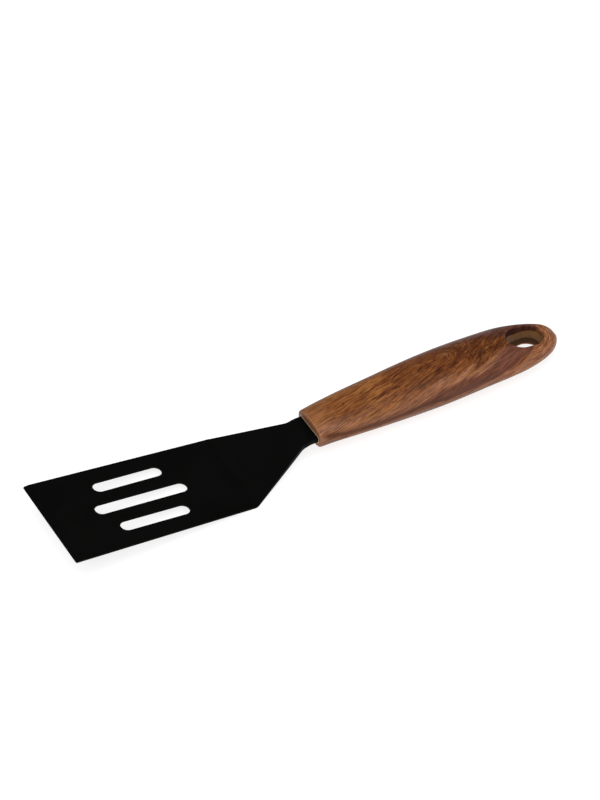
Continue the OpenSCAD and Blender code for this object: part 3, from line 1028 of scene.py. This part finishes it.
def top_print(finish, colours, x, s, ridge, drift, wander):
    """Grain and colour of the top: diagonal grain, an arch, flecks, a pinkish near side that is partly
    painted sheen, a plum band and painted shade along the far edge.
    """
    middle, dark, sheen, plum = colours.middle, colours.dark, colours.sheen, colours.plum

    # Grain along the handle that turns more and more towards its far side.
    grain = Grain(finish, x + s * 0.25, s - x * 0.09 - x * x * 0.0015 + drift * 3.0, 1.0)

    # Arch of dark grain: its tip points to the handle's end, its legs run back along both sides.
    off = s - ARCH_MIDDLE
    arch = (ARCH_TIP - x - off * off * 0.155) / (1.0 + off * off * 0.096).math("SQRT") + wander * 2.0
    under_arch = arch.ramp(-0.6, 0.6)
    inside = under_arch * (x + wander * 20.0).ramp(68.0, 76.0)
    grain.towards(Grain(finish, off * 2.2, arch, 21.0), inside)

    # Feathered edges of the pinkish near side and of the plum band, which follow the grain.
    feather = (grain.streak - 0.5) * 12.0 + (grain.fibre - 0.5) * 9.0
    edge = x.ramp(0.0, 28.0) * -5.0 + x.ramp(45.0, 75.0) * 2.3 + x.ramp(88.0, 110.0) * 5.0 - 7.5
    near = (edge - s + feather).ramp(-2.6, 2.6)
    plum_edge = ridge - 1.8 - (x - 85.0).ramp(0.0, 22.0) * 7.0 + feather * 0.5
    purple = plum_edge.ramp(1.2, -1.2) * x.ramp(38.0, 60.0)

    # Mottled grain between the arch and the hole.
    mottled = (1.0 - under_arch) * (x + wander * 12.0).ramp(80.0, 87.0) * (1.0 - near)
    grain.towards(Grain(finish, (x * 0.84 + s * 0.54) * 1.6, s * 0.84 - x * 0.54, 41.0), mottled)

    # The broad bands under the grain, and the pale and deep tones of its fibres.
    rear, far = x.ramp(15.0, 80.0), s.ramp(1.0, 8.0) * x.ramp(66.0, 96.0)
    ground = finish.coats(
        finish.mix(rear * 0.8, colours.light, shade(middle, 1.7)),
        ((grain.streak + rear * 0.18).ramp(0.42, 0.64), middle),
        (x.ramp(16.0, 2.0) * 0.5, sheen),
        (mottled * 0.8, shade(middle, 0.8)),
        (inside * arch.ramp(9.0, 2.0) * 0.4, middle),
        (far * 0.6, shade(middle, 0.5)),
        # The near side's pinkish tan is partly print and partly painted sheen, lighter still round 74 mm
        # along the handle.
        (near * 0.85, finish.mix(x.bell(74.0, 15.0), sheen, shade(sheen, 1.25))),
        (purple * 0.95, plum),
    )
    pale = finish.coats(shade(colours.light, 1.35), (near, shade(sheen, 1.75)), (purple, shade(plum, 1.8)))
    deep = finish.coats(shade(middle, 0.7), (near, shade(plum, 0.85)), (purple, shade(plum, 0.55)))

    # Dark flames and flecks, broken veins, and the bow of the arch.
    flames = (grain.flame + rear * 0.07 - near * 0.14 - 0.02).ramp(0.55, 0.63)
    flecks = (grain.fleck + rear * 0.08 + mottled * 0.03 - near * 0.16 - 0.05).ramp(0.58, 0.67)
    broken = (grain.flame - grain.fibre * 0.5 + 0.25).ramp(0.35, 0.55)
    bow = arch.bell(0.9, 1.5) * (x + wander * 10.0).ramp(62.0, 78.0)
    colour = finish.coats(
        ground,
        (grain.pale_fibres() * (near * 0.25 + 0.5), pale),
        (grain.dark_fibres() * 0.7, deep),
        (flames * x.ramp(-6.0, 16.0) * 0.75, dark),
        (flecks * x.ramp(-2.0, 18.0) * 0.75, dark),
        (grain.pale_hairs() * (0.35 - mottled * 0.25), pale),
        (grain.dark_hairs() * 0.55, deep),
        *((vein(x, s + wander * 1.2, *row) * broken, dark) for row in VEINS),
        (bow * (0.35 + grain.flame * 0.7), shade(dark, 1.3)),
        (x.bell(75.5, 2.0) * s.bell(3.6, 1.2) * 0.4, sheen),
        # Painted shade: a darker plum band along the far edge, where the top turns away from the light.
        (s.bell(11.5, 3.0) * 0.45, shade(plum, 0.7)),
    )
    return grain, colour


def side_print(finish, colours, line, drift):
    """Colour of the streaky band below the print's dark line, which curls round the middle of the end, with a
    painted greyish reflection of the floor along the belly.
    """
    middle, sheen = colours.middle, colours.sheen
    x, s, _ = finish.stored("print_under")
    band = Grain(finish, x - s * 0.3, s + x * 0.16 + drift * 2.0, 61.0)
    along, aside, height = (axis / MM for axis in finish.position())
    past = along - (GRIP_HIGH.x / MM - END_MIDDLE)
    around = aside.math("ARCTAN2", past * 0.8)
    radius = (past * past * 0.64 + aside * aside).math("SQRT")
    ending = past.ramp(-8.0, 4.0)
    band.towards(Grain(finish, around * 20.0, (radius - height) * 1.4, 81.0), ending)
    return finish.coats(
        sheen,
        (band.streak.ramp(0.42, 0.64), shade(middle, 1.6)),
        (ending * 0.35, shade(middle, 1.4)),
        (band.pale_fibres() * (0.6 + ending * 0.2), shade(sheen, 1.9)),
        (band.dark_fibres() * (0.6 + ending * 0.3), shade(middle, 0.7)),
        (band.pale_hairs() * 0.5, shade(sheen, 1.9)),
        (band.dark_hairs() * 0.5, shade(middle, 0.9)),
        ((band.flame + radius.ramp(13.0, 9.0) * 0.06).ramp(0.57, 0.65) * 0.6, colours.dark),
        # Painted reflection: the belly below the dark line turns greyish, as if the pale floor were reflected
        # there.
        (line.bell(-3.2, 1.8) * (1.0 - past.ramp(-30.0, -10.0)) * 0.7, BELLY_REFLECTION),
    )


def wood_print(colours):
    """The whole print: top, side band, the dark line between them, the hanging hole with painted shade and
    the front edge with a painted highlight.
    """
    finish = Finish("wood_effect_print", 0.38, Specular_IOR_Level=0.12)
    x, s, ridge = finish.stored("print_top")
    depth = finish.stored("print_under")[2]
    drift = finish.noise(x * 0.05, s * 0.09, 3.0, detail=1.0)
    wander = finish.noise(x * 0.16, s * 0.30, 5.0, detail=2.0) - 0.5
    grain, top = top_print(finish, colours, x, s, ridge, drift, wander)

    # The dark line leaves the ridge where the handle is widest, and runs down before the end.
    leaving = (x - s.ramp(0.0, 6.0) * 9.0).ramp(114.0, 130.0) * 9.0
    line = ridge + x.ramp(48.0, 70.0) * 4.2 - x.ramp(80.0, 112.0) * 3.2 - leaving + wander * 0.8
    # Painted shade, partly print: a dark line along the crease, fading in behind the front and weaker towards
    # the rear.
    crease_print_and_shade = line.bell(0.8, 2.0) * (0.9 - x.ramp(45.0, 95.0) * 0.6) * x.ramp(0.5, 5.0)

    # Painted shade darkens the print inside the hanging hole; the front face turns pinkish, with a painted
    # highlight on its edge.
    painted_hole_shade = depth.ramp(0.4, 1.2) * x.ramp(70.0, 90.0)
    lower = ridge.ramp(1.0, -1.0)
    colour = finish.coats(
        top,
        (line.ramp(0.4, -0.4), side_print(finish, colours, line, drift)),
        (crease_print_and_shade, CREASE_PRINT_AND_SHADE),
        # Painted shade inside the hanging hole, darkest on its lower part.
        (painted_hole_shade * (0.6 + lower * 0.35), finish.mix(lower, shade(colours.dark, 1.2), HOLE_SHADE)),
        (x.ramp(0.5, 0.1) * 0.7, shade(colours.sheen, 0.85)),
        # Painted highlight along the rounded front edge.
        (x.bell(0.55, 0.22) * 0.5, shade(colours.sheen, 1.25)),
    )
    finish.feed("Base Color", colour)
    finish.feed("Roughness", 0.36 + grain.fibre * 0.12 + painted_hole_shade * 0.4)
    finish.relief(grain.fibre, 0.00003)
    return finish.material


# Studio


class SPATULA_OT_stage(bpy.types.Operator):
    """Lays the pale floor, hangs the soft light and sets up the camera"""

    bl_idname = "spatula.stage"
    bl_label = "Studio"

    # Half the floor's side and the space under the spatula, in metres
    floor_half, floor_space = 6.0, 0.0002
    # Photograph's width and height and its focal length, all in pixels, and the camera's angles in degrees
    photo_size, focal_length = (600, 800), 4000.0
    azimuth, elevation = -29.12, 44.54
    # Middle of the leading edge: its pixel, its place in the row's frame and its distance from the camera
    tip_pixel, tip_behind, tip_height, tip_distance = (49.331, 523.037), 0.00016, 0.01514, 1.83537
    sensor_width = 36

    def execute(self, context):
        self.floor(context.scene)
        self.light(context.scene)
        self.camera(context.scene)
        return {"FINISHED"}

    def floor(self, scene):
        """A wide sheet of pale paper."""
        mesh = bpy.data.meshes.new("pale_floor")
        corners = [(-1, -1, 0), (1, -1, 0), (1, 1, 0), (-1, 1, 0)]
        mesh.from_pydata([Vector(corner) * self.floor_half for corner in corners], [], [(0, 1, 2, 3)])
        floor = bpy.data.objects.new("pale_floor", mesh)
        scene.collection.objects.link(floor)
        floor.location.z = -self.floor_space
        pale, white = (0.30, 0.30, 0.30, 1), (1, 1, 1, 1)
        glow = {"Emission_Color": white, "Emission_Strength": 0.82}
        paper = Finish("pale_paper", 0.9, Base_Color=pale, Specular_IOR_Level=0.1, **glow)
        mesh.materials.append(paper.material)

    def light(self, scene):
        """A white room and one large soft box overhead."""
        world = bpy.data.worlds.new("soft_room")
        world.use_nodes = True
        room = world.node_tree.nodes["Background"]
        room.inputs["Color"].default_value = (1, 1, 1, 1)
        room.inputs["Strength"].default_value = 0.25
        scene.world = world
        light = bpy.data.lights.new("overhead_softbox", "AREA")
        light.energy = 52.0
        light.size = 2.6
        lamp = bpy.data.objects.new("overhead_softbox", light)
        place = Vector((-0.35, -0.45, 1.9))
        lamp.location = place
        lamp.rotation_euler = (-place).to_track_quat("-Z", "Y").to_euler()
        scene.collection.objects.link(lamp)

    def camera(self, scene):
        """The photograph's view: the leading edge's middle is seen at its pixel."""
        azimuth, elevation = math.radians(self.azimuth), math.radians(self.elevation)
        right = Vector((math.cos(azimuth), math.sin(azimuth), 0))
        level = math.cos(elevation)
        back = Vector((math.sin(azimuth) * level, -math.cos(azimuth) * level, math.sin(elevation)))
        up = back.cross(right)
        width, height = self.photo_size
        off = (self.tip_pixel[0] - width / 2, height / 2 - self.tip_pixel[1])
        seen = Vector([pixels / self.focal_length * self.tip_distance for pixels in off])
        tip = Vector((HEAD_LOW.x + self.tip_behind, 0, self.tip_height))
        eye = tip - right * seen.x - up * seen.y + back * self.tip_distance
        camera = bpy.data.objects.new("camera", bpy.data.cameras.new("camera"))
        scene.collection.objects.link(camera)
        turn = Matrix((right, up, back)).transposed().to_4x4()
        camera.matrix_world = Matrix.Translation(eye) @ turn
        camera.data.sensor_width = self.sensor_width
        camera.data.lens = self.focal_length * self.sensor_width / height
        camera.data.clip_end = 20
        scene.camera = camera
        scene.view_settings.view_transform = "Standard"


class SPATULA_PT_panel(bpy.types.Panel):
    """Lists the spatula's sizes, colours and building steps"""

    bl_idname = "SPATULA_PT_panel"
    bl_label = "Slotted Spatula"
    bl_space_type = "VIEW_3D"
    bl_region_type = "UI"
    bl_category = "Spatula"

    def draw(self, context):
        for group in ("spatula_head", "spatula_handle", "spatula_print"):
            box = self.layout.box()
            settings = getattr(context.scene, group)
            for key in settings.bl_rna.properties.keys():
                if key not in ("rna_type", "name"):
                    box.prop(settings, key)
        for step in STEPS:
            self.layout.operator(step.bl_idname)


GROUPS = {"spatula_head": HeadSizes, "spatula_handle": HandleSizes, "spatula_print": PrintColours}
STEPS = (SPATULA_OT_head, SPATULA_OT_core, SPATULA_OT_grip, SPATULA_OT_stage)


def register():
    for kind in (*GROUPS.values(), *STEPS, SPATULA_PT_panel):
        bpy.utils.register_class(kind)
    for key, kind in GROUPS.items():
        setattr(bpy.types.Scene, key, bpy.props.PointerProperty(type=kind))


def unregister():
    for key in GROUPS:
        delattr(bpy.types.Scene, key)
    for kind in (SPATULA_PT_panel, *reversed(STEPS), *GROUPS.values()):
        bpy.utils.unregister_class(kind)


def main():
    register()
    bpy.ops.spatula.head()
    bpy.ops.spatula.core()
    bpy.ops.spatula.grip()
    bpy.ops.spatula.stage()


if __name__ == "__main__":
    main()
